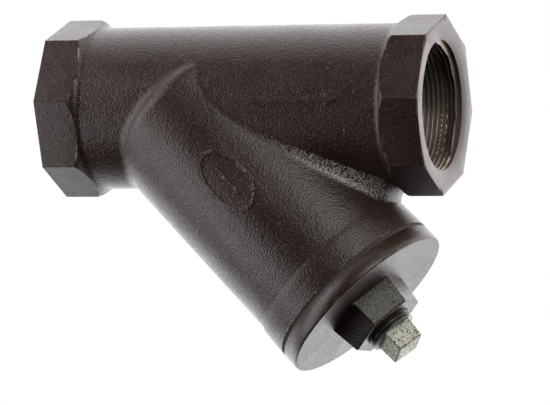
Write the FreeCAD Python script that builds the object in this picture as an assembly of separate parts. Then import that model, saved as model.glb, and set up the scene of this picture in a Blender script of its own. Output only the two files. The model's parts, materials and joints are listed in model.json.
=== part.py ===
"""Y strainer with screwed ends: cast body, screwed cover with a blow-down plug, and a removable screen.

The pipe axis is +X, in the direction of flow, and the origin is the centre of the inlet face. The
branch that holds the screen leaves the pipe axis downwards, towards the outlet. Pieces on the branch
are made standing on their own axis (+Z outwards, zero where the two axes cross) and then placed.
All sizes are in millimetres.
"""
import FreeCAD
import Part
import math
import os

# ---------------------------------------------------------------- overall sizes
FACE_TO_FACE = 175.0          # inlet face to outlet face
INLET_TO_CENTRE = 56.0        # inlet face to the point where the branch axis crosses the pipe axis
BRANCH_ANGLE = 45.0           # branch axis below the pipe axis, degrees
BARREL_R = 35.5
BRANCH_R = 39.7
WALL = 6.7                    # cast wall of the branch

# ---------------------------------------------------------------- thread form, as shares of the pitch
THREAD_FLANK = 0.30           # along the axis, each flank
THREAD_ROOT = 0.10            # flat at the bottom of a groove

# ---------------------------------------------------------------- screwed ends
HUB_ACROSS_FLATS = 72.4       # eight-sided wrench hub at each end
HUB_LENGTH = 14.2             # end face to where the corners start to turn over
HUB_BACK_ROUND = 3.0          # where the hub's corners turn over at its back
HUB_SHOULDER_R = 4.0          # hollow shoulder from there down to the barrel
PORT_PITCH = 2.209            # 11.5 threads to the inch
PORT_CREST_R = 28.05
PORT_ROOT_R = 29.75           # at the mouth; the roots taper, 1 in 16 on the diameter
PORT_TURNS = 9
PORT_RUNOUT = 1               # plain land behind the last groove, in pitches
PORT_LAND = 5.0               # degrees of each turn where the crest runs on to the next one
PORT_CHAMFER = 1.2            # depth of the lead-in
PORT_CHAMFER_R = 30.4
WATERWAY_R = 28.6             # cored passage behind the threads

# ---------------------------------------------------------------- branch and its mouth
BRANCH_START = -5.0           # where the fat branch casting begins on its own axis
BRANCH_END_ROUND = 8.0
BRANCH_MOUTH = 112.4
COLLAR_LENGTH = 13.4
COLLAR_R = 40.5               # at its start
COLLAR_MOUTH_R = 41.1
COLLAR_STEP = 0.8             # length of the small slope up to the collar
BLEND_R = 7.0                 # fillet where the branch meets the barrel
EDGE_ROUND = 0.7              # cast corners

# ---------------------------------------------------------------- partition with the screen's seat
SEAT_Z = 2.0                  # the screen's upper rim stands on this shoulder
SEAT_PLATE = 6.0              # thickness of the partition
SEAT_LIP = 2.4                # shoulder's width under the rim

# ---------------------------------------------------------------- cover and gasket
COVER_PITCH = 2.0
COVER_THREAD_R = 35.3         # male crest; the female crest stands a running clearance outside it
THREAD_CLEARANCE = 0.05
COVER_THREAD_DEPTH = 1.1
COVER_TURNS = 7
MOUTH_LEAD = 1.0              # plain lead-in of the branch mouth, and its radial relief
MOUTH_RUNOUT = 1.5            # the mouth's thread bore runs this far past the spigot
SPIGOT_CHAMFER = 1.2
GASKET_THICKNESS = 1.8
GASKET_INSET = 0.45           # gasket edge inside the collar's edge
GASKET_BORE_GAP = 0.6         # gasket bore outside the mouth's crests
COVER_RIM_R = 41.1
COVER_RIM = 7.4               # rim thickness
COVER_RIM_ROUND = 0.9
COVER_SPIGOT = 17.0           # from the rim's underside to the spigot's end
COVER_POCKET_R = 19.5         # dirt pocket behind the screen
COVER_FLOOR = 5.5             # metal between the pocket and the outer face
SOCKET_LEAD = 1.0             # bevel that guides the screen's foot in
BOSS_BASE_AF = 33.8
BOSS_END_AF = 30.6
BOSS_HEIGHT = 13.0
BOSS_ROUND = 1.0

# ---------------------------------------------------------------- blow-down plug, 1/2 inch pipe
PLUG_PITCH = 1.814
PLUG_CORE_R = 9.9             # engaged crest
PLUG_THREAD_STEP = 0.75       # how far the turns outside the boss stand out over the engaged crests
PLUG_ENGAGED = 12.0
PLUG_THREAD_DEPTH = 0.8
PLUG_NOSE = 0.8               # bevel at the plug's inner end
PLUG_NECK = 0.25              # the plug's open turns fall this far under their crests at both ends
PLUG_OPEN_THREAD = 3.7        # thread left showing between the boss and the head
PLUG_HEAD_BASE_AF = 13.8
PLUG_HEAD_END_AF = 12.8
PLUG_HEAD = 9.7
PLUG_HEAD_TURN = 6.0          # how the square stands on its axis, degrees
PLUG_HEAD_ROUND = 0.9
SEAL_FILM = 0.25              # sealing compound between plug and boss
SEAL_GAP = 0.03
BOSS_COUNTERSINK = 1.0

# ---------------------------------------------------------------- screen
SCREEN_R = 22.6               # outside of the perforated tube
SCREEN_SHEET = 0.8
SCREEN_END_GAP = 0.3
SCREEN_SIDE_GAP = 0.35        # in the seat and in the cover's recess
SCREEN_SOCKET = 10.0          # depth of the cover's recess round the screen's foot
BAND_SHEET = 0.7
BAND_WIDTH = 8.0
SHEET_GAP = 0.03              # between sheets that are laid on each other and spot welded
LINER_SHEET = 0.35
STRIP_WIDTH = 9.0
STRIP_SHEET = 0.5
HOLE_R = 1.9
HOLE_COLUMNS = 22
HOLE_ROW_PITCH = 5.6
HOLE_EDGE = 2.4               # metal left between the last holes and the bands or the strip
LINER_SHORT = 0.5             # how far the cloth ends short of the tube's ends
STRIP_SHORT = 0.3             # gap between the strip's ends and the bands

# ---------------------------------------------------------------- cast marks
MARK_HEIGHT = 0.55
ARROW_FROM_CENTRE = 49.0
ARROW_LENGTH = 34.0
ARROW_WIDTH = 2.2
ARROW_HEAD = 6.4
BADGE_Z = 49.0                # centre of the oval foundry mark on the branch
BADGE_LENGTH = 32.0
BADGE_WIDTH = 19.0
BADGE_LINE = 1.5

# ---------------------------------------------------------------- worked out
HUB_CORNER_R = HUB_ACROSS_FLATS / 2 / math.cos(math.pi / 8)
PORT_DEPTH = PORT_CHAMFER + (PORT_TURNS + PORT_RUNOUT) * PORT_PITCH
BRANCH_BORE_R = BRANCH_R - WALL
MOUTH_CREST_R = COVER_THREAD_R + THREAD_CLEARANCE
COVER_UNDERSIDE = BRANCH_MOUTH + GASKET_THICKNESS
COVER_FACE = COVER_UNDERSIDE + COVER_RIM
COVER_SPIGOT_END = COVER_UNDERSIDE - COVER_SPIGOT
BOSS_END = COVER_FACE + BOSS_HEIGHT
BAND_R = SCREEN_R + SHEET_GAP + BAND_SHEET
SOCKET_R = BAND_R + SCREEN_SIDE_GAP
SCREEN_TOP = SEAT_Z + SCREEN_END_GAP
SOCKET_FLOOR = COVER_SPIGOT_END + SCREEN_SOCKET
SCREEN_FOOT = SOCKET_FLOOR - SCREEN_END_GAP
PARTITION_TOP = SEAT_Z - SEAT_PLATE / 3
PARTITION_UNDER = PARTITION_TOP + SEAT_PLATE
SEAL_R = PLUG_CORE_R + SEAL_GAP
PLUG_HOLE_R = SEAL_R + SEAL_FILM + SEAL_GAP
PLUG_THREAD_R = PLUG_CORE_R + PLUG_THREAD_STEP

BRANCH = FreeCAD.Placement(
    FreeCAD.Vector(INLET_TO_CENTRE, 0, 0),
    FreeCAD.Rotation(FreeCAD.Vector(0, 1, 0), 90 + BRANCH_ANGLE),
)
PIPE = FreeCAD.Placement(FreeCAD.Vector(0, 0, 0), FreeCAD.Rotation(FreeCAD.Vector(0, 1, 0), 90))


def placed(shape, placement):
    """The shape moved from its own axis to its place in the assembly."""
    moved = shape.copy()
    moved.Placement = placement.multiply(moved.Placement)
    return moved


def tube(outer, inner, low, high):
    """A round wall about Z."""
    at = FreeCAD.Vector(0, 0, low)
    wall = Part.makeCylinder(outer, high - low, at)
    return wall.cut(Part.makeCylinder(inner, high - low, at)) if inner > 0 else wall


def turned(outline, sweep=360):
    """A solid of revolution about Z from (radius, height) points; a middle point of three makes an arc."""
    points = [FreeCAD.Vector(p[0], 0, p[1]) for p in outline]
    edges = []
    for here, after, raw in zip(points, points[1:] + points[:1], outline):
        if len(raw) == 4:
            edges.append(Part.Arc(here, FreeCAD.Vector(raw[2], 0, raw[3]), after).toShape())
        else:
            edges.append(Part.makeLine(here, after))
    return Part.Face(Part.Wire(edges)).revolve(FreeCAD.Vector(0, 0, 0), FreeCAD.Vector(0, 0, 1), sweep)


def thread_line(start, turns, pitch, crest_r, root_r):
    """The (radius, height) line of a row of thread grooves, narrow-bottomed Vs between flat crests."""
    line = [(crest_r, start)]
    for turn in range(turns):
        middle = start + (turn + 0.5) * pitch
        flat = THREAD_ROOT * pitch / 2
        wide = flat + THREAD_FLANK * pitch
        line += [(crest_r, middle - wide), (root_r, middle - flat)]
        line += [(root_r, middle + flat), (crest_r, middle + wide)]
    return line + [(crest_r, start + turns * pitch)]


def regular(sides, across_flats, height, turn=0.0):
    """A closed polygon wire about Z with its first corner on the X axis, turned by some degrees."""
    radius = across_flats / 2 / math.cos(math.pi / sides)
    angles = [math.radians(turn) + 2 * math.pi * k / sides for k in range(sides)]
    corners = [FreeCAD.Vector(radius * math.cos(a), radius * math.sin(a), height) for a in angles]
    return Part.makePolygon(corners + corners[:1])


def tapered_prism(sides, base_af, base, end_af, end, turn, rounding):
    """A cast or forged wrench shape that narrows outwards, with its long and its end edges rounded."""
    solid = Part.makeLoft([regular(sides, base_af, base, turn), regular(sides, end_af, end, turn)], True)
    edges = [e for e in solid.Edges if max(v.Z for v in e.Vertexes) > base + 1e-6]
    return solid.makeFillet(rounding, edges)


# ---------------------------------------------------------------- body
def hub():
    """Eight-sided hub from z = 0, with corners that turn over and fall in a hollow shoulder to the barrel."""
    rise = HUB_CORNER_R - BARREL_R
    both = HUB_BACK_ROUND + HUB_SHOULDER_R
    lean = math.acos(1 - rise / both)
    end = HUB_LENGTH + both * math.sin(lean)

    def on_round(angle):
        radius = HUB_CORNER_R - HUB_BACK_ROUND * (1 - math.cos(angle))
        return (radius, HUB_LENGTH + HUB_BACK_ROUND * math.sin(angle))

    def on_shoulder(angle):
        radius = BARREL_R + HUB_SHOULDER_R * (1 - math.cos(angle))
        return (radius, end - HUB_SHOULDER_R * math.sin(angle))

    outside = HUB_CORNER_R + 1
    round_limit = turned([
        (0, 0), (outside, 0), (outside, HUB_LENGTH), (HUB_CORNER_R, HUB_LENGTH, *on_round(lean / 2)),
        (*on_round(lean), *on_shoulder(lean / 2)), (BARREL_R, end), (0, end),
    ])
    prism = Part.Face(regular(8, HUB_ACROSS_FLATS, 0)).extrude(FreeCAD.Vector(0, 0, end))
    long_edges = [e for e in prism.Edges if abs(e.Vertexes[0].Z - e.Vertexes[-1].Z) > HUB_LENGTH]
    return prism.makeFillet(EDGE_ROUND, long_edges).common(round_limit)


def at_outlet(shape):
    """A copy of an inlet-end feature turned round to the outlet face."""
    half_turn = FreeCAD.Rotation(FreeCAD.Vector(0, 0, 1), 180)
    return placed(shape, FreeCAD.Placement(FreeCAD.Vector(FACE_TO_FACE, 0, 0), half_turn))


def branch_casting():
    """The fat branch with its rounded upper end and the drafted collar round its mouth."""
    low, top = BRANCH_START, BRANCH_MOUTH - COLLAR_LENGTH
    r = BRANCH_END_ROUND
    on_arc = (BRANCH_R - r + r * math.sin(math.pi / 4), low + r - r * math.cos(math.pi / 4))
    return turned([
        (0, low), (BRANCH_R - r, low, on_arc[0], on_arc[1]), (BRANCH_R, low + r),
        (BRANCH_R, top), (COLLAR_R, top + COLLAR_STEP), (COLLAR_MOUTH_R, BRANCH_MOUTH), (0, BRANCH_MOUTH),
    ])


def port_cutter():
    """Lead-in, thread and run-out of one screwed end, from z = 0 inwards.

    The thread is a row of ring grooves. A screw's crest is one unbroken land, so each groove stops
    short at the back of the hub's bore and the crests join there.
    """
    cutter = turned([
        (0, -1), (PORT_CHAMFER_R, -1), (PORT_CHAMFER_R, 0), (PORT_CREST_R, PORT_CHAMFER),
        (PORT_CREST_R, PORT_DEPTH), (0, PORT_DEPTH),
    ])
    inside = PORT_CREST_R - THREAD_FLANK * PORT_PITCH / 2
    for turn in range(PORT_TURNS):
        middle = PORT_CHAMFER + (turn + 0.5) * PORT_PITCH
        root = PORT_ROOT_R - (turn + 0.5) * PORT_PITCH / 32
        slope = THREAD_FLANK * PORT_PITCH / (root - PORT_CREST_R)
        flat = THREAD_ROOT * PORT_PITCH / 2
        wide = flat + slope * (root - inside)
        groove = [(inside, middle - wide), (root, middle - flat)]
        groove += [(root, middle + flat), (inside, middle + wide)]
        ring = turned(groove, 360 - PORT_LAND)
        ring.rotate(FreeCAD.Vector(0, 0, 0), FreeCAD.Vector(0, 0, 1), 90 + PORT_LAND / 2)
        cutter = cutter.fuse(ring)
    return cutter


def mouth_cutter():
    """Branch bore below the partition, and the thread that takes the cover."""
    start = COVER_SPIGOT_END - MOUTH_RUNOUT
    line = thread_line(
        BRANCH_MOUTH - MOUTH_LEAD - COVER_TURNS * COVER_PITCH, COVER_TURNS, COVER_PITCH,
        MOUTH_CREST_R, MOUTH_CREST_R + COVER_THREAD_DEPTH,
    )
    lead_r = MOUTH_CREST_R + MOUTH_LEAD
    bore = [(0, PARTITION_UNDER), (BRANCH_BORE_R, PARTITION_UNDER), (BRANCH_BORE_R, start)]
    mouth = [(lead_r, BRANCH_MOUTH), (lead_r, BRANCH_MOUTH + 1), (0, BRANCH_MOUTH + 1)]
    return turned(bore + [(MOUTH_CREST_R, start)] + line + mouth)


def branch_slab(low, high):
    """All of space between two heights on the branch axis, as wide as the casting."""
    size = 2 * FACE_TO_FACE
    slab = Part.makeBox(size, size, high - low, FreeCAD.Vector(-size / 2, -size / 2, low))
    return placed(slab, BRANCH)


def cast_marks():
    """Raised flow arrow on the barrel and a plain oval foundry mark on the branch, both facing -Y."""
    tip = ARROW_FROM_CENTRE + ARROW_LENGTH + INLET_TO_CENTRE
    neck, tail = tip - ARROW_HEAD, ARROW_FROM_CENTRE + INLET_TO_CENTRE
    half, wing = ARROW_WIDTH / 2, ARROW_HEAD / 2
    outline = [(tail, half), (neck, half), (neck, wing), (tip, 0)]
    outline += [(neck, -wing), (neck, -half), (tail, -half)]
    corners = [FreeCAD.Vector(x, -BARREL_R - 2, z) for x, z in outline]
    arrow = Part.Face(Part.makePolygon(corners + corners[:1])).extrude(FreeCAD.Vector(0, 6, 0))
    skin = placed(Part.makeCylinder(BARREL_R + MARK_HEIGHT, FACE_TO_FACE), PIPE)
    arrow = arrow.common(skin)

    def oval(inset):
        ring = Part.Ellipse(FreeCAD.Vector(0, 0, 0), BADGE_LENGTH / 2 - inset, BADGE_WIDTH / 2 - inset)
        face = Part.Face(Part.Wire([ring.toShape()]))
        face.rotate(FreeCAD.Vector(0, 0, 0), FreeCAD.Vector(1, 0, 0), 90)
        face.rotate(FreeCAD.Vector(0, 0, 0), FreeCAD.Vector(0, 1, 0), 90)
        face.translate(FreeCAD.Vector(0, -BRANCH_R - 2, BADGE_Z))
        return face.extrude(FreeCAD.Vector(0, 8, 0))

    bar = Part.makeBox(
        BADGE_LINE, 8, BADGE_LENGTH * 0.5,
        FreeCAD.Vector(-BADGE_LINE / 2, -BRANCH_R - 2, BADGE_Z - BADGE_LENGTH * 0.25),
    )
    badge = oval(0).cut(oval(BADGE_LINE)).fuse(bar)
    skin = Part.makeCylinder(BRANCH_R + MARK_HEIGHT, BRANCH_MOUTH)
    return arrow, placed(badge.common(skin), BRANCH)


def strainer_body():
    """The one-piece casting with its machined ends, seat and mouth."""
    barrel = placed(Part.makeCylinder(BARREL_R, FACE_TO_FACE), PIPE)
    branch = placed(branch_casting(), BRANCH)
    outside = barrel.fuse(branch)
    joints = meeting_edges(outside)
    outside = outside.makeFillet(BLEND_R, joints)
    end = placed(hub(), PIPE)
    outside = outside.multiFuse([end, at_outlet(end)] + list(cast_marks()))

    waterway = placed(Part.makeCylinder(WATERWAY_R, FACE_TO_FACE), PIPE)
    waterway = waterway.common(Part.makeBox(
        FACE_TO_FACE - 2 * PORT_DEPTH, 4 * WATERWAY_R, 4 * WATERWAY_R,
        FreeCAD.Vector(PORT_DEPTH, -2 * WATERWAY_R, -2 * WATERWAY_R),
    ))
    passage = waterway.cut(branch_slab(PARTITION_TOP, PARTITION_UNDER))
    seat = tube(SOCKET_R, 0, SEAT_Z, PARTITION_UNDER).fuse(
        tube(SOCKET_R - SEAT_LIP, 0, PARTITION_TOP, SEAT_Z)
    )
    port = placed(port_cutter(), PIPE)
    cuts = [passage, placed(seat, BRANCH), placed(mouth_cutter(), BRANCH), port, at_outlet(port)]
    return outside.cut(cuts)


def meeting_edges(outside):
    """The edges where the branch's round side and upper end come out of the barrel."""
    found = []
    for edge in outside.Edges:
        probe = edge.valueAt((edge.FirstParameter + edge.LastParameter) / 2)
        off_pipe = math.hypot(probe.y, probe.z)
        if abs(off_pipe - BARREL_R) < 0.01 and 1 < probe.x < FACE_TO_FACE - 1 and edge.Length > 1:
            if not isinstance(edge.Curve, Part.Line):
                found.append(edge)
    return found


# ---------------------------------------------------------------- cover
def screen_cover():
    """Screwed cover: threaded spigot, socket for the screen's foot, rim and cast wrench boss."""
    r = COVER_RIM_ROUND
    arc = (COVER_RIM_R - r + r * math.sin(math.pi / 4), COVER_FACE - r + r * math.cos(math.pi / 4))
    line = thread_line(
        COVER_SPIGOT_END + SPIGOT_CHAMFER, COVER_TURNS, COVER_PITCH,
        COVER_THREAD_R, COVER_THREAD_R - COVER_THREAD_DEPTH,
    )
    solid = turned(
        [(0, COVER_SPIGOT_END), (COVER_THREAD_R - SPIGOT_CHAMFER, COVER_SPIGOT_END)] + line
        + [(COVER_THREAD_R, COVER_UNDERSIDE), (COVER_RIM_R, COVER_UNDERSIDE),
           (COVER_RIM_R, COVER_FACE - r, arc[0], arc[1]), (COVER_RIM_R - r, COVER_FACE), (0, COVER_FACE)]
    )
    boss = tapered_prism(6, BOSS_BASE_AF, COVER_FACE - 1, BOSS_END_AF, BOSS_END, 30, BOSS_ROUND)
    pocket_floor = COVER_FACE - COVER_FLOOR
    hollow = turned([
        (0, COVER_SPIGOT_END - 1), (SOCKET_R + SOCKET_LEAD, COVER_SPIGOT_END - 1),
        (SOCKET_R + SOCKET_LEAD, COVER_SPIGOT_END), (SOCKET_R, COVER_SPIGOT_END + SOCKET_LEAD),
        (SOCKET_R, SOCKET_FLOOR), (COVER_POCKET_R, SOCKET_FLOOR), (COVER_POCKET_R, pocket_floor),
        (PLUG_HOLE_R, pocket_floor + BOSS_COUNTERSINK), (PLUG_HOLE_R, BOSS_END - BOSS_COUNTERSINK),
        (PLUG_HOLE_R + BOSS_COUNTERSINK, BOSS_END), (PLUG_HOLE_R + BOSS_COUNTERSINK, BOSS_END + 1),
        (0, BOSS_END + 1),
    ])
    return solid.fuse(boss).cut(hollow)


def cover_gasket():
    """Flat ring between the branch mouth and the cover's rim."""
    bore_r = MOUTH_CREST_R + GASKET_BORE_GAP
    return tube(COLLAR_MOUTH_R - GASKET_INSET, bore_r, BRANCH_MOUTH, COVER_UNDERSIDE)


# ---------------------------------------------------------------- plug
def blow_down_plug():
    """Square-headed pipe plug: thread crests inside the boss, two larger turns outside, drafted head."""
    low = BOSS_END - PLUG_ENGAGED
    turns = int((PLUG_ENGAGED - PLUG_NOSE) / PLUG_PITCH)
    inside = thread_line(
        low + PLUG_NOSE, turns, PLUG_PITCH, PLUG_CORE_R, PLUG_CORE_R - PLUG_THREAD_DEPTH,
    )
    open_turns = int(PLUG_OPEN_THREAD / PLUG_PITCH)
    head_base = BOSS_END + PLUG_OPEN_THREAD
    outside = thread_line(
        (BOSS_END + head_base - open_turns * PLUG_PITCH) / 2, open_turns, PLUG_PITCH,
        PLUG_THREAD_R, PLUG_THREAD_R - PLUG_THREAD_DEPTH,
    )
    neck_r = PLUG_THREAD_R - PLUG_NECK
    shank = turned(
        [(0, low), (PLUG_CORE_R - PLUG_NOSE, low)] + inside
        + [(PLUG_CORE_R, BOSS_END), (neck_r, BOSS_END)] + outside + [(neck_r, head_base), (0, head_base)]
    )
    head = tapered_prism(
        4, PLUG_HEAD_BASE_AF, head_base - 0.5, PLUG_HEAD_END_AF, head_base + PLUG_HEAD, PLUG_HEAD_TURN,
        PLUG_HEAD_ROUND,
    )
    return shank.fuse(head)


def plug_thread_seal():
    """Film of sealing compound carried on the plug's thread."""
    return tube(SEAL_R + SEAL_FILM, SEAL_R, BOSS_END - PLUG_ENGAGED + PLUG_NOSE, BOSS_END - BOSS_COUNTERSINK)


# ---------------------------------------------------------------- screen
def strip_half_angle():
    """Half the angle that the seam strip takes up on the tube."""
    return STRIP_WIDTH / 2 / SCREEN_R


def screen_tube():
    """Rolled perforated sheet: staggered round holes, left out under the bands and the seam strip."""
    solid = tube(SCREEN_R, SCREEN_R - SCREEN_SHEET, SCREEN_TOP, SCREEN_FOOT)
    low = SCREEN_TOP + BAND_WIDTH + HOLE_EDGE + HOLE_R
    high = SCREEN_FOOT - BAND_WIDTH - HOLE_EDGE - HOLE_R
    rows = int((high - low) / HOLE_ROW_PITCH) + 1
    first = (low + high - (rows - 1) * HOLE_ROW_PITCH) / 2
    keep_out = strip_half_angle() + (HOLE_R + HOLE_EDGE) / SCREEN_R
    punches = []
    for row in range(rows):
        for column in range(HOLE_COLUMNS):
            angle = 2 * math.pi * (column + 0.5 * (row % 2)) / HOLE_COLUMNS
            if min(angle, 2 * math.pi - angle) < keep_out:
                continue
            out = FreeCAD.Vector(math.cos(angle), math.sin(angle), 0)
            at = out * (SCREEN_R / 2) + FreeCAD.Vector(0, 0, first + row * HOLE_ROW_PITCH)
            punches.append(Part.makeCylinder(HOLE_R, SCREEN_R, at, out))
    return solid.cut(punches)


def screen_mesh_liner():
    """Woven wire cloth rolled inside the perforated tube, drawn as a plain sleeve."""
    outer = SCREEN_R - SCREEN_SHEET - SHEET_GAP
    return tube(outer, outer - LINER_SHEET, SCREEN_TOP + LINER_SHORT, SCREEN_FOOT - LINER_SHORT)


def screen_band(low):
    """Stiffening band round one end of the tube."""
    return tube(BAND_R, SCREEN_R + SHEET_GAP, low, low + BAND_WIDTH)


def screen_seam_strip():
    """Strip welded over the tube's butt seam, between the two bands."""
    low = SCREEN_TOP + BAND_WIDTH + STRIP_SHORT
    high = SCREEN_FOOT - BAND_WIDTH - STRIP_SHORT
    inner = SCREEN_R + SHEET_GAP
    full = tube(inner + STRIP_SHEET, inner, low, high)
    box = Part.makeBox(2 * SCREEN_R, STRIP_WIDTH, high - low, FreeCAD.Vector(0, -STRIP_WIDTH / 2, low))
    return full.common(box)


def write(name, shape):
    """One STEP file per node, in the assembly's frame."""
    solids = shape.Solids
    if not solids or not all(s.isValid() for s in solids):
        raise ValueError(name + " is not a sound solid")
    part = solids[0] if len(solids) == 1 else Part.makeCompound(solids)
    part.exportStep("parts/" + name + ".step")
    print(name, "solids", len(solids), "volume", round(part.Volume), "mm3")


os.makedirs("parts", exist_ok=True)
write("strainer_body", strainer_body())
write("screen_cover", placed(screen_cover(), BRANCH))
write("cover_gasket", placed(cover_gasket(), BRANCH))
write("blow_down_plug", placed(blow_down_plug(), BRANCH))
write("plug_thread_seal", placed(plug_thread_seal(), BRANCH))
write("screen_tube", placed(screen_tube(), BRANCH))
write("screen_mesh_liner", placed(screen_mesh_liner(), BRANCH))
write("screen_upper_band", placed(screen_band(SCREEN_TOP), BRANCH))
write("screen_lower_band", placed(screen_band(SCREEN_FOOT - BAND_WIDTH), BRANCH))
write("screen_seam_strip", placed(screen_seam_strip(), BRANCH))
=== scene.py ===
# %% [markdown]
# A cast iron Y strainer. Water runs in at the left, down into a perforated screen in the slanted
# branch, out through the screen's wall and away to the right. The shapes and sizes come from the
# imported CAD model. This script gives each piece the surface that its making leaves on it: sand-cast
# iron under lacquer, faces and threads cut in a lathe, a bare malleable plug, rolled and woven steel.

# %% Load the frame
import bpy
import bmesh
import json
import math
from mathutils import Matrix, Vector


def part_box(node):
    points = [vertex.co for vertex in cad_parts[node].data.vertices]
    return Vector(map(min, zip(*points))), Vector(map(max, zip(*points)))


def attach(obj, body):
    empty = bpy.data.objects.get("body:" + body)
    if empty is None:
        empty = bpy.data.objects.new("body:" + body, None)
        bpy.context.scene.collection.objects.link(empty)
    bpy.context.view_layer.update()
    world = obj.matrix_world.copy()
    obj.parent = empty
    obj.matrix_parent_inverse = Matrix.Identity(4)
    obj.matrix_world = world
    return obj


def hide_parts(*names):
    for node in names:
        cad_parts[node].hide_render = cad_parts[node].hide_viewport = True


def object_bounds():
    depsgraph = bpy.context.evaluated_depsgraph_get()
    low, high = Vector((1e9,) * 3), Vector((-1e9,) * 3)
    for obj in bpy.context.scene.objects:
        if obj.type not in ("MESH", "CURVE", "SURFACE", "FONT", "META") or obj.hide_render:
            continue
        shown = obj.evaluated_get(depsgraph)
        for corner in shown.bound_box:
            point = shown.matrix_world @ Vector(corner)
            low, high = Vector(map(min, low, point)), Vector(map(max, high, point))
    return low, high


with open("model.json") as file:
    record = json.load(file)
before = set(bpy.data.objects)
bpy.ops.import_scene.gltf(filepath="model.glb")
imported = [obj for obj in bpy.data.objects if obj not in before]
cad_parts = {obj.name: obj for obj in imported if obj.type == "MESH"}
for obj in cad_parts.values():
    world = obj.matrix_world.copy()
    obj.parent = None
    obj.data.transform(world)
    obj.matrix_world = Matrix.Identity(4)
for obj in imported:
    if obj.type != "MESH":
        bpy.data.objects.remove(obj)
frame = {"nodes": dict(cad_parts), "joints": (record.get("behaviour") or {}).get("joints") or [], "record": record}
cad_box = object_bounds()
MM = 0.001
print("box in mm", [[round(c / MM, 1) for c in corner] for corner in cad_box])

# %% [markdown]
# Everything that is round in this object turns about one of two axes: the pipe axis, along X, and the
# branch axis, which the cover's joint gives. Three small functions say how far a point is along the
# branch axis and away from each axis, and the later steps use them to tell a thread from a cast wall.

# %% The two axes
body_low, body_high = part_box("strainer_body")
FACE_TO_FACE = body_high.x
cover_joint = next(j for j in frame["joints"] if j["name"] == "cover_turn")
CENTRE = Vector(cover_joint["pos_m"])
BRANCH = Vector(cover_joint["axis"]).normalized()
PIPE_AXIS = (1.0, 0.0, 0.0)
BARREL_R = 35.5 * MM
BRANCH_R = 39.7 * MM
ports = {m["name"]: m for m in frame["record"]["mounts"]}
PORT_R = ports["inlet"]["dims"]["r_mm"] * MM
PORT_LENGTH = ports["inlet"]["dims"]["length_mm"] * MM + abs(ports["inlet"]["pos_m"][0])


def along_branch(point):
    return (Vector(point) - CENTRE).dot(BRANCH)


def off_branch(point):
    gap = Vector(point) - CENTRE
    return (gap - BRANCH * gap.dot(BRANCH)).length


def off_pipe(point):
    return math.hypot(point[1], point[2])


MOUTH = min(along_branch(v.co) for v in frame["nodes"]["cover_gasket"].data.vertices)
print("face to face", round(FACE_TO_FACE / MM, 1), "mm, branch mouth at", round(MOUTH / MM, 1), "mm")

# %% [markdown]
# Colours are written as the sRGB hex values that a colour picker shows, and Blender's shaders want
# linear light, so one function converts them. Another adds a shader node with its settings and links,
# and a few short ones wrap the nodes that nearly every material here is made of.

# %% Colour and node helpers
def linear(code):
    channels = [int(code[i:i + 2], 16) / 255 for i in (1, 3, 5)]
    return [c / 12.92 if c <= 0.04045 else ((c + 0.055) / 1.055) ** 2.4 for c in channels] + [1.0]


def add_node(tree, kind, links=None, **settings):
    """Adds a node. A link is a socket to join or a plain value; a setting is a property of the node."""
    node = tree.nodes.new(kind)
    for name, value in settings.items():
        setattr(node, name, value)
    for name, value in (links or {}).items():
        socket = node.inputs[name]
        if isinstance(value, bpy.types.NodeSocket):
            tree.links.new(value, socket)
        else:
            socket.default_value = value
    return node


def new_material(name):
    """A material with nothing in it but a Principled shader and Object coordinates."""
    material = bpy.data.materials.new(name)
    material.use_nodes = True
    tree = material.node_tree
    shader = tree.nodes["Principled BSDF"]
    place = add_node(tree, "ShaderNodeTexCoord").outputs["Object"]
    return material, tree, shader, place


def noise(tree, place, size_mm, detail=2.0, roughness=0.5):
    """Noise whose lumps are about size_mm across."""
    return add_node(tree, "ShaderNodeTexNoise", {
        "Vector": place, "Scale": 1 / (size_mm * MM), "Detail": detail, "Roughness": roughness,
    }).outputs["Fac"]


def ramp(tree, value, low, high, to_low=0.0, to_high=1.0):
    """Value stretched from low..high to to_low..to_high, and held at the ends."""
    return add_node(tree, "ShaderNodeMapRange", {
        "Value": value, "From Min": low, "From Max": high, "To Min": to_low, "To Max": to_high,
    }).outputs["Result"]


def math_node(tree, what, first, second=0.0):
    return add_node(tree, "ShaderNodeMath", {0: first, 1: second}, operation=what).outputs["Value"]


def mix_colour(tree, amount, first, second):
    node = add_node(tree, "ShaderNodeMix", {"Factor": amount}, data_type="RGBA")
    for socket, value in ((node.inputs[6], first), (node.inputs[7], second)):
        if isinstance(value, bpy.types.NodeSocket):
            tree.links.new(value, socket)
        else:
            socket.default_value = value
    return node.outputs[2]


def bumps(tree, shader, layers):
    """Bump nodes in a row, coarse to fine: each layer is (height socket, depth in mm)."""
    normal = None
    for height, depth_mm in layers:
        links = {"Height": height, "Distance": depth_mm * MM, "Strength": 1.0}
        if normal is not None:
            links["Normal"] = normal
        normal = add_node(tree, "ShaderNodeBump", links).outputs["Normal"]
    tree.links.new(normal, shader.inputs["Normal"])
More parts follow.
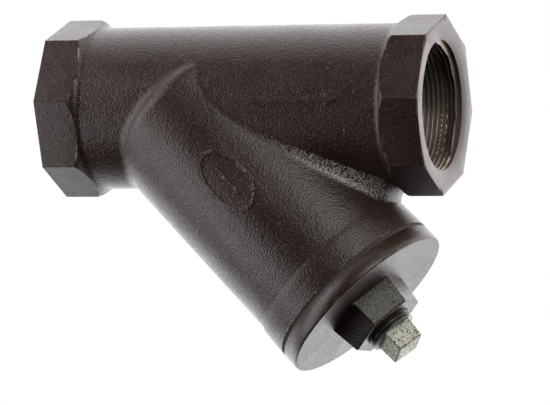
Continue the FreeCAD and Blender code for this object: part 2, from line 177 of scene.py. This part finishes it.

# %% [markdown]
# The casting was poured in a sand mould and dipped in a thin satin lacquer, so dark a brown that it
# passes for black. Lacquer is a dielectric: it keeps an IOR near 1.5 and no metallic part, and nearly
# all the light that comes off it is a reflection. It follows the sand's grain, and each grain throws
# its own small glint. Real foundry sand is about 0.5 mm across and is drawn a little coarser. The
# grain is one smooth octave of noise: with finer octaves on top, its slopes would average out to a
# grey haze when seen from this far. Corners that rub on other castings show bare iron.
#
# The same finish has three grades. The wrench hubs and the cover's rim were ground, so their grain is
# shallow. The cover's face lay at the top of the mould, where gas leaves it pitted. Light specks in the
# colour are painted glints. In the corner where the branch joins the barrel they crowd together and
# turn pale, as a painted highlight band.

# %% Lacquer over sand-cast iron
GRAIN_MM = 0.85
GRAIN_DEPTH_MM = 0.25
GROUND_DEPTH_MM = GRAIN_DEPTH_MM / 4
SWELL_MM = 7.0
SWELL_DEPTH_MM = 0.15
PATCH_MM = 24.0
PIT_SPACING_MM = 5.0
PIT_DEPTH_MM = 0.15
PIT_FLOOR, PIT_RIM = 0.06, 0.13
WEAR_R_MM = 1.2
CHIP_MM = 4.0
CHIP_LEVEL, CHIP_FULL = 0.62, 0.70
# Pale specks in the lacquer's colour are painted glints: their noise size, level, gain and largest cover. The
# level drops in the corner band, where the specks form a painted highlight.
GLINT_SPECK_MM = 0.65
GLINT_SPECK_LEVEL = 0.62
HIGHLIGHT_BAND_DROP = 0.17
GLINT_SPECK_GAIN = 5.0
GLINT_SPECK_COVER = 0.6
LACQUER_DARK = "#2a1b18"
LACQUER_LIGHT = "#35231f"
BARE_CORNER = "#9c958f"
# A pit's floor is coloured near black: painted shade inside the dent.
PIT_SHADE_COLOUR = "#100c0b"
# Where the painted highlight band lies, in metres along the pipe and up, and how far from the mouth the collar
# starts.
CORNER_START_X, CORNER_FULL_X = 0.075, 0.135
CORNER_END_X, CORNER_FADE_X = 0.155, 0.152
CORNER_TOP_Z, CORNER_FULL_Z = -0.007, -0.012
COLLAR_LENGTH = 14 * MM
COLLAR_FADE = 3 * MM


def worn_edges(tree, place, amount):
    """1 on sharp outer corners, broken up by noise: where a rounded normal leaves the true one."""
    soft = add_node(tree, "ShaderNodeBevel", {"Radius": WEAR_R_MM * MM}, samples=6).outputs["Normal"]
    true = add_node(tree, "ShaderNodeNewGeometry").outputs["Normal"]
    same = add_node(tree, "ShaderNodeVectorMath", {0: soft, 1: true}, operation="DOT_PRODUCT")
    edge = ramp(tree, same.outputs["Value"], 0.995, 0.95)
    chips = ramp(tree, noise(tree, place, CHIP_MM, 4.0, 0.7), CHIP_LEVEL - amount, CHIP_FULL - amount)
    return math_node(tree, "MULTIPLY", edge, chips)


def pits(tree, place, spacing_mm, share):
    """0 in a small round pit, 1 elsewhere. Only a share of the cells has one."""
    cells = add_node(tree, "ShaderNodeTexVoronoi", {"Vector": place, "Scale": 1 / (spacing_mm * MM)})
    hole = ramp(tree, cells.outputs["Distance"], PIT_FLOOR, PIT_RIM)
    pick = add_node(tree, "ShaderNodeSeparateColor", {"Color": cells.outputs["Color"]}).outputs["Red"]
    return math_node(tree, "MAXIMUM", hole, math_node(tree, "GREATER_THAN", pick, share))


def off_axis(tree, place, point, axis):
    """Distance from an axis through a point: the length of a cross product with the axis."""
    moved = add_node(tree, "ShaderNodeVectorMath", {0: place, 1: tuple(point)}, operation="SUBTRACT")
    across = add_node(tree, "ShaderNodeVectorMath", {0: moved.outputs[0], 1: tuple(axis)},
                      operation="CROSS_PRODUCT")
    length = add_node(tree, "ShaderNodeVectorMath", {0: across.outputs[0]}, operation="LENGTH")
    return length.outputs["Value"]


def crotch_highlight_band(tree, place):
    """1 in the fillet on the branch's outlet side, which lies outside both barrel and branch: the painted
    highlight band.
    """
    past_barrel = math_node(tree, "SUBTRACT", off_axis(tree, place, (0, 0, 0), PIPE_AXIS), BARREL_R)
    past_branch = math_node(tree, "SUBTRACT", off_axis(tree, place, CENTRE, BRANCH), BRANCH_R)
    fillet = ramp(tree, math_node(tree, "MINIMUM", past_barrel, past_branch), 0.05 * MM, 0.5 * MM)
    # It builds up towards the outlet hub, stops short of it, and stays below the pipe's middle.
    split = add_node(tree, "ShaderNodeSeparateXYZ", {0: place})
    x, z = split.outputs["X"], split.outputs["Z"]
    reach = math_node(tree, "MULTIPLY", ramp(tree, x, CORNER_START_X, CORNER_FULL_X),
                      ramp(tree, x, CORNER_END_X, CORNER_FADE_X))
    reach = math_node(tree, "MULTIPLY", reach, ramp(tree, z, CORNER_TOP_Z, CORNER_FULL_Z))
    # It ends where the branch's drafted collar starts.
    along = add_node(tree, "ShaderNodeVectorMath", {0: place, 1: tuple(BRANCH)}, operation="DOT_PRODUCT")
    collar = CENTRE.dot(BRANCH) + MOUTH - COLLAR_LENGTH
    before = ramp(tree, along.outputs["Value"], collar, collar - COLLAR_FADE)
    return math_node(tree, "MULTIPLY", fillet, math_node(tree, "MULTIPLY", reach, before))


def lacquered_cast(name, grain_depth_mm, wear, pitted_share):
    material, tree, shader, place = new_material(name)
    grain = noise(tree, place, GRAIN_MM, 1.0, 0.5)
    swell = noise(tree, place, SWELL_MM, 2.0, 0.5)
    patches = noise(tree, place, PATCH_MM, 3.0, 0.6)
    pit = pits(tree, place, PIT_SPACING_MM, pitted_share)
    shade = mix_colour(tree, ramp(tree, patches, 0.35, 0.7), linear(LACQUER_DARK), linear(LACQUER_LIGHT))
    # Painted glints are where their noise rises over a level. The level is lower in the painted highlight band.
    highlight_band = crotch_highlight_band(tree, place)
    edge = math_node(tree, "SUBTRACT", GLINT_SPECK_LEVEL, math_node(tree, "MULTIPLY", highlight_band, HIGHLIGHT_BAND_DROP))
    glint_speck_noise = noise(tree, place, GLINT_SPECK_MM, 1.0, 0.5)
    bright = math_node(tree, "MULTIPLY", math_node(tree, "SUBTRACT", glint_speck_noise, edge), GLINT_SPECK_GAIN)
    speck = add_node(tree, "ShaderNodeClamp", {"Value": bright, "Min": 0.0, "Max": GLINT_SPECK_COVER}).outputs[0]
    # The specks are painted glints in a reddish grey. In the corner band they turn near white, as a painted
    # highlight.
    with_painted_glints = mix_colour(tree, speck, shade,
                        mix_colour(tree, highlight_band, linear("#75655f"), linear("#cbc4bb")))
    # The pits are coloured near black as painted shade. Their dent is only a bump.
    pitted = mix_colour(tree, pit, linear(PIT_SHADE_COLOUR), with_painted_glints)
    worn = worn_edges(tree, place, wear)
    tree.links.new(mix_colour(tree, worn, pitted, linear(BARE_CORNER)), shader.inputs["Base Color"])
    rough = ramp(tree, patches, 0.3, 0.7, 0.28, 0.36)
    tree.links.new(math_node(tree, "ADD", rough, ramp(tree, grain, 0.4, 0.7, 0.0, 0.10)),
                   shader.inputs["Roughness"])
    bumps(tree, shader, [(swell, SWELL_DEPTH_MM), (pit, PIT_DEPTH_MM), (grain, grain_depth_mm)])
    return material


paint = lacquered_cast("satin_lacquer_on_sand_cast_iron", GRAIN_DEPTH_MM, wear=0.06, pitted_share=0.16)
smooth_paint = lacquered_cast("satin_lacquer_on_smooth_iron", GROUND_DEPTH_MM, wear=0.10, pitted_share=0.08)
pitted_paint = lacquered_cast("satin_lacquer_on_pitted_iron", GRAIN_DEPTH_MM, wear=0.06, pitted_share=0.5)
print("grain", GRAIN_MM, "mm across and", GRAIN_DEPTH_MM, "mm deep")

# %% [markdown]
# The end faces and the ports' threads were cut in a lathe before the dip, so the same lacquer lies on
# them without any grain, thick on the faces and thin on the threads. The branch's mouth and the
# cover's thread stayed bare. What is left is a fine waviness in rings round the axis where the tool
# passed. The rings are waves of distance from the axis, so ports and branch need their own centres.

# %% Lacquer over turned iron
def turned_iron(name, axis_point, axis, dark, light, rough, ring_mm, metallic=0.0):
    material, tree, shader, place = new_material(name)
    radius = off_axis(tree, place, axis_point, axis)
    wave = math_node(tree, "SINE", math_node(tree, "MULTIPLY", radius, 2 * math.pi / (ring_mm * MM)))
    cloud = noise(tree, place, 8.0, 3.0, 0.6)
    speck = noise(tree, place, 1.1, 1.0)
    base = mix_colour(tree, ramp(tree, cloud, 0.35, 0.7), linear(dark), linear(light))
    spotted = mix_colour(tree, ramp(tree, speck, 0.72, 0.78), base, linear("#15100f"))
    tree.links.new(spotted, shader.inputs["Base Color"])
    shader.inputs["Metallic"].default_value = metallic
    tree.links.new(ramp(tree, cloud, 0.3, 0.7, rough - 0.05, rough + 0.07), shader.inputs["Roughness"])
    bumps(tree, shader, [(wave, 0.004), (cloud, 0.05), (speck, 0.02)])
    return material


turned_face = turned_iron("lacquer_on_turned_iron", (0, 0, 0), PIPE_AXIS,
                          "#43322f", "#523f3c", rough=0.36, ring_mm=0.8)
turned_thread = turned_iron("lacquer_on_cut_thread", (0, 0, 0), PIPE_AXIS,
                            "#8d807a", "#998b84", rough=0.36, ring_mm=0.5, metallic=0.75)
turned_mouth = turned_iron("bare_turned_iron", CENTRE, BRANCH,
                           "#8d8580", "#77706b", rough=0.38, ring_mm=0.5, metallic=0.8)

# %% [markdown]
# Inside, the sand cores leave a bare dark skin with a brown bloom of oxide. It is seen only through
# the ports and when the cover is off, but it has to look like iron and not like paint.

# %% Cored iron
def cored_iron(name):
    material, tree, shader, place = new_material(name)
    grain = noise(tree, place, 0.9, 3.0, 0.6)
    bloom = noise(tree, place, 14.0, 4.0, 0.6)
    colour = mix_colour(tree, ramp(tree, bloom, 0.4, 0.65), linear("#2a2522"), linear("#4a382c"))
    tree.links.new(colour, shader.inputs["Base Color"])
    tree.links.new(ramp(tree, grain, 0.3, 0.7, 0.6, 0.85), shader.inputs["Roughness"])
    bumps(tree, shader, [(bloom, 0.3), (grain, 0.15)])
    return material


cored = cored_iron("sand_cored_iron")

# %% [markdown]
# A CAD mesh arrives as loose triangles. The casting, the cover and the plug carry several finishes
# each, so a copy of each stands in for its node: its doubled corners are merged, its sharp edges are
# kept, and each face is given the finish of the tool or mould that made it.

# %% Copies that carry several finishes
SHARP = math.radians(24)
DOUBLED = 0.002 * MM


def finished_copy(node, name, finishes, choose):
    """A merged, smooth-shaded copy of a CAD node. choose(centre) picks the finish of each face."""
    made = frame["nodes"][node].copy()
    made.data = frame["nodes"][node].data.copy()
    made.name = made.data.name = name
    made.parent = None
    for key in list(made.keys()):
        del made[key]
    bpy.context.scene.collection.objects.link(made)
    shape = bmesh.new()
    shape.from_mesh(made.data)
    bmesh.ops.remove_doubles(shape, verts=shape.verts, dist=DOUBLED)
    made.data.materials.clear()
    for finish in finishes:
        made.data.materials.append(finish)
    for face in shape.faces:
        face.smooth = True
        face.material_index = finishes.index(choose(face.calc_center_median()))
    shape.to_mesh(made.data)
    shape.free()
    made.data.set_sharp_from_angle(angle=SHARP)
    # Normals follow the big faces, so thin slivers beside them don't show as zigzags.
    shading = made.modifiers.new("even shading", "WEIGHTED_NORMAL")
    shading.mode = "FACE_AREA_WITH_ANGLE"
    shading.weight = 100
    shading.keep_sharp = True
    print(name, len(made.data.polygons), "faces")
    return made


HAIR = 0.02 * MM
LEAD_IN = 1.19 * MM
LEAD_IN_RISE = 2.4 * MM
PORT_GROOVE = 2.6 * MM
MOUTH_CUT_LENGTH = 17 * MM
MOUTH_CUT_R = 37.5 * MM
WATERWAY_R = 28.8 * MM
BRANCH_BORE_R = 33.2 * MM
BRANCH_BORE_START = -10 * MM
HUB_LENGTH = 18 * MM


def body_finish(centre):
    height, away, round_pipe = along_branch(centre), off_branch(centre), off_pipe(centre)
    at_end = min(centre.x, FACE_TO_FACE - centre.x)
    if at_end < HAIR or (at_end < LEAD_IN and round_pipe < PORT_R + LEAD_IN_RISE):
        return turned_face
    if at_end < PORT_LENGTH and round_pipe < PORT_R + PORT_GROOVE:
        return turned_thread
    if height > MOUTH - HAIR or (height > MOUTH - MOUTH_CUT_LENGTH and away < MOUTH_CUT_R):
        return turned_mouth
    if round_pipe < WATERWAY_R or (away < BRANCH_BORE_R and height > BRANCH_BORE_START):
        return cored
    if at_end < HUB_LENGTH:
        return smooth_paint
    return paint


casting = finished_copy("strainer_body", "body_casting",
                        [paint, smooth_paint, turned_face, turned_thread, turned_mouth, cored], body_finish)
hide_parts("strainer_body")
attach(casting, "body")

# %% The cover
PLUG_HOLE_R = 10.4 * MM
RIM_R = 40.5 * MM
COVER_UNDER = max(along_branch(v.co) for v in frame["nodes"]["cover_gasket"].data.vertices)


def cover_finish(centre):
    height, away = along_branch(centre), off_branch(centre)
    if height < COVER_UNDER + HAIR or away < PLUG_HOLE_R:
        return turned_mouth
    if away > RIM_R:
        return smooth_paint
    return pitted_paint


cover = finished_copy("screen_cover", "cover_casting",
                      [smooth_paint, pitted_paint, turned_mouth], cover_finish)
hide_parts("screen_cover")
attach(cover, "cover")

# %% [markdown]
# The plug is malleable iron, tumbled bare and only oiled. It is the lightest piece, grey with a
# faint green cast, and speckled dark where its skin is open. Its thread is drawn dark. This is painted
# shade in the gap between the cover's boss and the plug's square head.

# %% Bare malleable iron
def bare_malleable(name):
    material, tree, shader, place = new_material(name)
    grain = noise(tree, place, 0.8, 2.0, 0.7)
    cloud = noise(tree, place, 5.0, 2.0)
    base = mix_colour(tree, ramp(tree, cloud, 0.35, 0.65), linear("#b8b5a9"), linear("#a09e92"))
    speckled = mix_colour(tree, ramp(tree, grain, 0.50, 0.38), base, linear("#2b2b25"))
    tree.links.new(speckled, shader.inputs["Base Color"])
    shader.inputs["Metallic"].default_value = 0.55
    tree.links.new(ramp(tree, grain, 0.3, 0.7, 0.62, 0.42), shader.inputs["Roughness"])
    bumps(tree, shader, [(cloud, 0.2), (grain, 0.14)])
    return material


PLUG_HEAD_LENGTH = 9.75 * MM
PLUG_THREAD_INSIDE = 6.0 * MM
PLUG_TOP = max(along_branch(v.co) for v in frame["nodes"]["blow_down_plug"].data.vertices)
malleable = bare_malleable("bare_malleable_iron")
# The thread is drawn dark as painted shade for the gap it sits in.
dark_thread = turned_iron("plug_thread_painted_shade", CENTRE, BRANCH,
                          "#2c2723", "#4c453f", rough=0.40, ring_mm=0.5, metallic=0.3)


def plug_finish(centre):
    in_thread = along_branch(centre) < PLUG_TOP - PLUG_HEAD_LENGTH
    return dark_thread if in_thread and off_branch(centre) > PLUG_THREAD_INSIDE else malleable


plug = finished_copy("blow_down_plug", "plug_forging", [malleable, dark_thread], plug_finish)
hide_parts("blow_down_plug")
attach(plug, "plug")

# %% [markdown]
# The gasket is compressed fibre sheet, the seal a skin of dark thread compound. Both are matt and
# nearly black, and neither reflects much, so noise in colour and roughness is all they need.

# %% Gasket and seal
def matt_dark(name, first, second, size_mm):
    material, tree, shader, place = new_material(name)
    fleck = noise(tree, place, size_mm, 3.0, 0.7)
    tree.links.new(mix_colour(tree, ramp(tree, fleck, 0.4, 0.65), linear(first), linear(second)),
                   shader.inputs["Base Color"])
    tree.links.new(ramp(tree, fleck, 0.3, 0.7, 0.7, 0.9), shader.inputs["Roughness"])
    bumps(tree, shader, [(fleck, 0.05)])
    return material


def dress(node, material):
    """Gives a CAD node that keeps its own mesh a better material."""
    slots = frame["nodes"][node].data.materials
    slots.clear()
    slots.append(material)


dress("cover_gasket", matt_dark("compressed_fibre_sheet", "#332b28", "#463c38", 0.5))
dress("plug_thread_seal", matt_dark("thread_compound", "#1d1b19", "#2c2926", 0.8))

# %% [markdown]
# The screen is rolled from stainless sheet that was punched flat, so its brushing runs along the
# strip. A noise stretched about twenty times in one direction is enough to draw it.

# %% Rolled stainless sheet
def rolled_stainless(name, colour):
    material, tree, shader, place = new_material(name)
    turn = BRANCH.rotation_difference(Vector((0, 0, 1))).to_euler()
    along = add_node(tree, "ShaderNodeMapping", {"Vector": place, "Rotation": tuple(turn)})
    stretch = add_node(tree, "ShaderNodeMapping", {"Vector": along.outputs[0], "Scale": (1, 1, 0.05)})
    brush = noise(tree, stretch.outputs[0], 0.35, 2.0, 0.6)
    film = noise(tree, place, 16.0, 2.0)
    tree.links.new(mix_colour(tree, ramp(tree, film, 0.35, 0.65), linear(colour), linear("#8f8c85")),
                   shader.inputs["Base Color"])
    shader.inputs["Metallic"].default_value = 1.0
    tree.links.new(ramp(tree, brush, 0.3, 0.7, 0.24, 0.42), shader.inputs["Roughness"])
    bumps(tree, shader, [(brush, 0.01)])
    return material


stainless = rolled_stainless("rolled_stainless_sheet", "#b3b1ab")
for node in ("screen_tube", "screen_upper_band", "screen_lower_band", "screen_seam_strip"):
    dress(node, stainless)

# %% [markdown]
# The cloth inside the screen is woven wire. Each wire goes over and under the ones that it crosses,
# so its line is a wave of one wire's thickness. The real cloth is about three times as fine, and it
# is drawn this coarse so that its weave can still be made out through the holes.

# %% Woven wire cloth
WIRE_R = 0.16 * MM
cloth_node = frame["nodes"]["screen_mesh_liner"]
cloth_ends = [along_branch(v.co) for v in cloth_node.data.vertices]
CLOTH_LOW, CLOTH_HIGH = min(cloth_ends), max(cloth_ends)
CLOTH_R = max(off_branch(v.co) for v in cloth_node.data.vertices) - 2.2 * WIRE_R
WARPS = 66
WEFTS = 50
UP_TO_BRANCH = Vector((0, 0, 1)).rotation_difference(BRANCH)
TO_BRANCH = Matrix.Translation(CENTRE) @ UP_TO_BRANCH.to_matrix().to_4x4()


def cloth_point(warp, weft, side):
    """Where a warp and a weft cross. side is 1 for the warp's point there and -1 for the weft's."""
    angle = 2 * math.pi * warp / WARPS
    radius = CLOTH_R + side * WIRE_R * (1 if (warp + weft) % 2 else -1)
    height = CLOTH_LOW + WIRE_R + (CLOTH_HIGH - CLOTH_LOW - 2 * WIRE_R) * weft / (WEFTS - 1)
    return TO_BRANCH @ Vector((radius * math.cos(angle), radius * math.sin(angle), height))


def wire(curve, points, closed):
    spline = curve.splines.new("POLY")
    spline.points.add(len(points) - 1)
    for target, point in zip(spline.points, points):
        target.co = (*point, 1.0)
    spline.use_cyclic_u = closed


lines = bpy.data.curves.new("woven_cloth", "CURVE")
lines.dimensions = "3D"
lines.bevel_depth = WIRE_R
lines.bevel_resolution = 0
for warp in range(WARPS):
    wire(lines, [cloth_point(warp, weft, 1) for weft in range(WEFTS)], False)
for weft in range(WEFTS):
    wire(lines, [cloth_point(warp, weft, -1) for warp in range(WARPS)], True)
drawn = bpy.data.objects.new("woven_cloth_lines", lines)
bpy.context.scene.collection.objects.link(drawn)
bpy.context.view_layer.update()
cloth = bpy.data.objects.new("woven_cloth", bpy.data.meshes.new_from_object(drawn))
bpy.context.scene.collection.objects.link(cloth)
bpy.data.objects.remove(drawn)
cloth.data.materials.clear()
cloth.data.materials.append(rolled_stainless("woven_stainless_wire", "#a3a19b"))
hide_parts("screen_mesh_liner")
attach(cloth, "screen_set")
print("cloth", len(cloth.data.polygons), "faces")

# %% [markdown]
# The strainer hangs in a white tent: light comes through the wall and the sweep behind it and through
# the roof, and the side where the camera looks in stays dark. That is why the edges that lean away
# from the camera are bright and the middle is nearly black. A lit board stands close by at the front
# left and lightens only that end, and a softbox high on the right picks out the joining corner and
# the wrench faces. The tent is painted by direction, and the camera itself sees plain white. The
# floor is seen by the camera alone and takes no part in the lighting.

# %% Tent, floor and boards
BACK_LIGHT = 2.4
ROOF_LIGHT = 2.0
FRONT_LIGHT = 0.02
FLOOR_BELOW = 0.13
FLOOR_SIZE = 3.0
FLOOR_GLOW = 0.5
FLOOR_WHITE = linear("#f2f1ef")
scene = bpy.context.scene
scene.view_settings.view_transform = "Standard"
world = bpy.data.worlds.new("light_tent")
scene.world = world
world.use_nodes = True
sky = world.node_tree
background = sky.nodes["Background"]
way = add_node(sky, "ShaderNodeTexCoord").outputs["Generated"]
heading = add_node(sky, "ShaderNodeSeparateXYZ", {0: way})
behind = math_node(sky, "MULTIPLY", ramp(sky, heading.outputs["Y"], 0.0, 0.5, FRONT_LIGHT, BACK_LIGHT),
                   ramp(sky, heading.outputs["Z"], -0.95, -0.45))
roof = math_node(sky, "MULTIPLY", ramp(sky, heading.outputs["Z"], 0.25, 0.95, 0.0, ROOF_LIGHT),
                 ramp(sky, heading.outputs["Y"], -0.4, 0.1))
tent = math_node(sky, "MAXIMUM", behind, roof)
seen = add_node(sky, "ShaderNodeLightPath").outputs["Is Camera Ray"]
level = add_node(sky, "ShaderNodeMix", {"Factor": seen, 2: tent, 3: 1.0}, data_type="FLOAT").outputs[0]
sky.links.new(level, background.inputs["Strength"])
background.inputs["Color"].default_value = (1, 1, 1, 1)

bpy.ops.mesh.primitive_plane_add(size=FLOOR_SIZE, location=(0.09, 0, cad_box[0][2] - FLOOR_BELOW))
floor = bpy.context.object
floor.name = "floor"
floor.visible_diffuse = floor.visible_glossy = floor.visible_shadow = False
white, _, floor_shader, _ = new_material("pale_floor")
floor_shader.inputs["Base Color"].default_value = FLOOR_WHITE
floor_shader.inputs["Roughness"].default_value = 0.8
floor_shader.inputs["Emission Color"].default_value = FLOOR_WHITE
floor_shader.inputs["Emission Strength"].default_value = FLOOR_GLOW
floor.data.materials.append(white)


def softbox(name, at, towards, width, height, watts, colour=(1, 1, 1)):
    """A rectangular lamp that lights the object but isn't seen by the camera itself."""
    lamp = bpy.data.lights.new(name, "AREA")
    lamp.color = colour
    lamp.shape = "RECTANGLE"
    lamp.size, lamp.size_y = width, height
    lamp.energy = watts
    holder = bpy.data.objects.new(name, lamp)
    holder.location = at
    holder.rotation_euler = (Vector(towards) - Vector(at)).to_track_quat("-Z", "Y").to_euler()
    holder.visible_camera = False
    scene.collection.objects.link(holder)


softbox("left_board", at=(-0.27, -0.21, -0.03), towards=(0.0, 0, -0.03),
        width=0.32, height=0.64, watts=1.8)
softbox("high_right_softbox", at=(0.50, -0.50, 0.36), towards=(0.14, 0, -0.08),
        width=0.50, height=0.50, watts=3.1, colour=(0.97, 1.0, 0.93))

# %% [markdown]
# A long lens stands nearly two metres away, a little to the right and slightly below the pipe, so
# the outlet face shows as a narrow ellipse and the edges stay close to parallel.

# %% Camera
AZIMUTH = math.radians(20.41)
ELEVATION = math.radians(-3.06)
ROLL = math.radians(1.04)
DISTANCE = 1.8392
LENS_MM = 277.1
SENSOR_MM = 36
AIM = Vector((CENTRE.x + 0.0423, 0, -0.04175))
turn = (
    Matrix.Rotation(AZIMUTH, 4, "Z")
    @ Matrix.Rotation(math.pi / 2 - ELEVATION, 4, "X")
    @ Matrix.Rotation(ROLL, 4, "Z")
)
lens = bpy.data.cameras.new("camera")
lens.lens = LENS_MM
lens.sensor_width = SENSOR_MM
camera = bpy.data.objects.new("camera", lens)
camera.matrix_world = Matrix.Translation(AIM + turn.to_3x3() @ Vector((0, 0, DISTANCE))) @ turn
scene.collection.objects.link(camera)
scene.camera = camera
